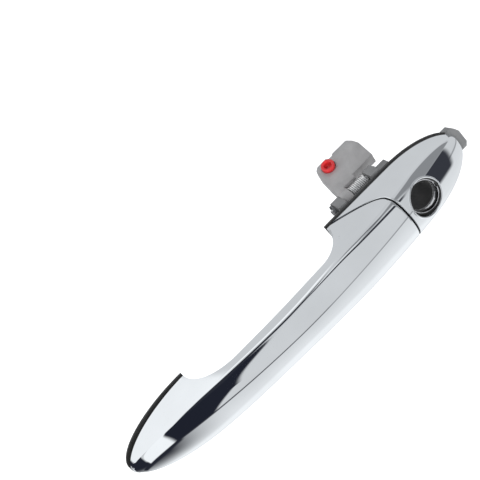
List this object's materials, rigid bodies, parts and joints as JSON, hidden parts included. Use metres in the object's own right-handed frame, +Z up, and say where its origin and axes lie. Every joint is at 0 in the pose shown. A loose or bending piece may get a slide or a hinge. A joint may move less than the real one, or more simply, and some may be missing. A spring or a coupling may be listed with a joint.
{
  "type": "car door handle",
  "caption": "Exterior car door pull handle with a chrome grip, a lock cap with a key bore, and a sprung bell crank with a rod clip behind it.",
  "frame": {"origin": "on the axis of the key cylinder bore, at the outer face of the door skin", "axes": "+X along the handle from the hinge foot to the lock cap, -Y out of the door along the key cylinder bore, +Z up"},
  "size_m": [0.2239, 0.0636, 0.0449],
  "materials": {
    "chrome_plate": "mirror chrome plating over moulded plastic",
    "liner_plastic": "fine grained black plastic",
    "core_plastic": "glass-filled dark grey plastic",
    "screw_steel": "zinc-plated steel",
    "pin_steel": "ground steel",
    "bearing_plastic": "acetal",
    "zinc_casting": "matte grey die casting",
    "gasket_rubber": "moulded rubber",
    "sleeve_metal": "bright nickel plating",
    "insert_brass": "turned",
    "clip_steel": "spring steel",
    "spring_steel": "bright spring wire",
    "weight_steel": "turned steel",
    "red_plastic": "moulded red plastic"
  },
  "bodies": {
    "base": {"rear_base": "zinc_casting", "cap": "chrome_plate", "rear_gasket": "gasket_rubber", "lock_sleeve": "sleeve_metal", "sleeve_seal": "gasket_rubber", "lock_screw": "screw_steel", "cap_screws": "screw_steel", "front_base": "zinc_casting", "front_gasket": "gasket_rubber", "threaded_inserts": "insert_brass", "bump_stops": "gasket_rubber", "hinge_bush": "bearing_plastic", "crank_pin": "pin_steel", "pin_clip": "clip_steel", "torsion_spring": "spring_steel"},
    "grip": {"grip_shell": "chrome_plate", "grip_liner": "liner_plastic", "grip_core": "core_plastic", "grip_screws": "screw_steel", "hinge_pin": "pin_steel", "arm_pad": "bearing_plastic"},
    "crank": {"bell_crank": "zinc_casting", "crank_bush": "bearing_plastic", "counterweight": "weight_steel"},
    "clip": {"rod_clip": "red_plastic"}
  },
  "joints": [
    {"name": "grip_pull", "type": "hinge", "parent": "base", "child": "grip", "pos_m": [-0.1715, -0.0056, 0], "axis": [0, 0, -1], "range_deg": [0, 5.5]},
    {"name": "crank_turn", "type": "hinge", "parent": "base", "child": "crank", "pos_m": [-0.0231, 0.0095, 0.013], "axis": [-1, 0, 0], "range_deg": [0, 42], "stiffness_Nm_per_rad": 0.1, "springref_deg": -57.3, "deforming": ["torsion_spring"]},
    {"name": "clip_swivel", "type": "hinge", "parent": "crank", "child": "clip", "pos_m": [-0.0172, 0.02663, 0.02211], "axis": [0, -0.4695, 0.8829], "range_deg": [-60, 60]}
  ],
  "couplings": [
    {"joint": "crank_turn", "follows": "grip_pull", "ratio": 7.636}
  ]
}
